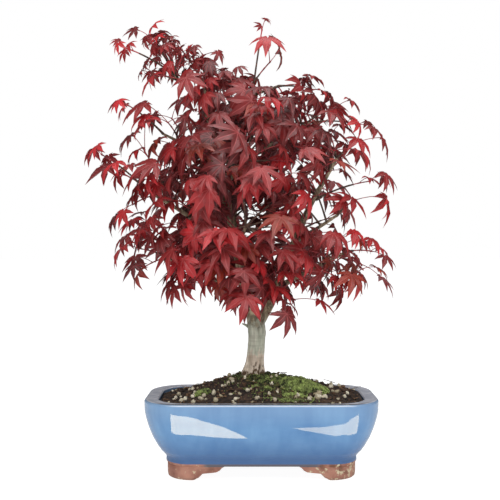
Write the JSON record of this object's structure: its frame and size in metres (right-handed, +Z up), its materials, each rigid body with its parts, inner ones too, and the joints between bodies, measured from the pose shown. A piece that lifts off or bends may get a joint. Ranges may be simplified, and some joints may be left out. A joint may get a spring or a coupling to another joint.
{
  "type": "deshojo japanese maple bonsai in a pot",
  "caption": "Small red-leaved Japanese maple trained as an upright bonsai, rooted in a mound of soil in a shallow rectangular glazed pot that stands on corner feet.",
  "frame": {"origin": "on the surface the feet stand on, below the middle of the whole tree's outline", "axes": "+Z up, the pot's long side along X, the front of the tree faces -Y"},
  "size_m": [0.3532, 0.2646, 0.5116],
  "materials": {
    "glaze": "glossy mid-blue glaze, bare clay feet",
    "screen": "black mesh",
    "soil": "rough dark potting mix with pale grit",
    "moss": "soft bright green",
    "bark": "thin grey-green bark",
    "leaf": "thin satin maroon blades",
    "young_leaf": "thin satin crimson blades"
  },
  "bodies": {
    "root": {"pot": "glaze", "drain_screen_left": "screen", "drain_screen_right": "screen", "soil": "soil", "moss_right": "moss", "moss_left": "moss", "trunk_and_branches": "bark", "spray_apex_left_far": "young_leaf", "spray_apex_left": "leaf", "spray_apex_left_low": "leaf", "spray_apex_middle": "leaf", "spray_apex_right": "leaf", "spray_apex_back": "leaf", "spray_apex_front": "leaf", "spray_top_middle": "leaf", "spray_top_spire": "young_leaf", "spray_top_back": "leaf", "spray_top_right_far": "leaf", "spray_top_right_front": "leaf", "spray_upper_left_far": "leaf", "spray_upper_left_near": "leaf", "spray_upper_left_back": "leaf", "spray_upper_right_far": "leaf", "spray_upper_right_top": "leaf", "spray_upper_right_front": "leaf", "spray_upper_right_back": "leaf", "spray_upper_front_left": "leaf", "spray_upper_front_right": "leaf", "spray_upper_back_far": "leaf", "spray_upper_back_left": "leaf", "spray_leader_far": "leaf", "spray_leader_front": "leaf", "spray_leader_back": "leaf", "spray_leader_right": "leaf", "spray_mid_left_far": "leaf", "spray_mid_left_low": "leaf", "spray_mid_left_top": "leaf", "spray_mid_left_back": "leaf", "spray_mid_left_front": "leaf", "spray_mid_front_far": "leaf", "spray_mid_front_left": "leaf", "spray_mid_front_right": "leaf", "spray_mid_right_front": "leaf", "spray_mid_right_far": "leaf", "spray_mid_back_far": "leaf", "spray_mid_back_left": "leaf", "spray_right_back_far": "leaf", "spray_right_back_side": "leaf", "spray_low_left_far": "leaf", "spray_low_left_front": "leaf", "spray_low_left_back": "leaf", "spray_low_left_near": "leaf", "spray_low_front_far": "leaf", "spray_low_right_front_far": "leaf", "spray_low_right_middle": "leaf", "spray_low_right_far": "leaf", "spray_low_right_low": "leaf", "spray_low_right_back": "leaf", "spray_low_back_far": "leaf", "spray_low_back_left": "leaf"}
  },
  "joints": []
}
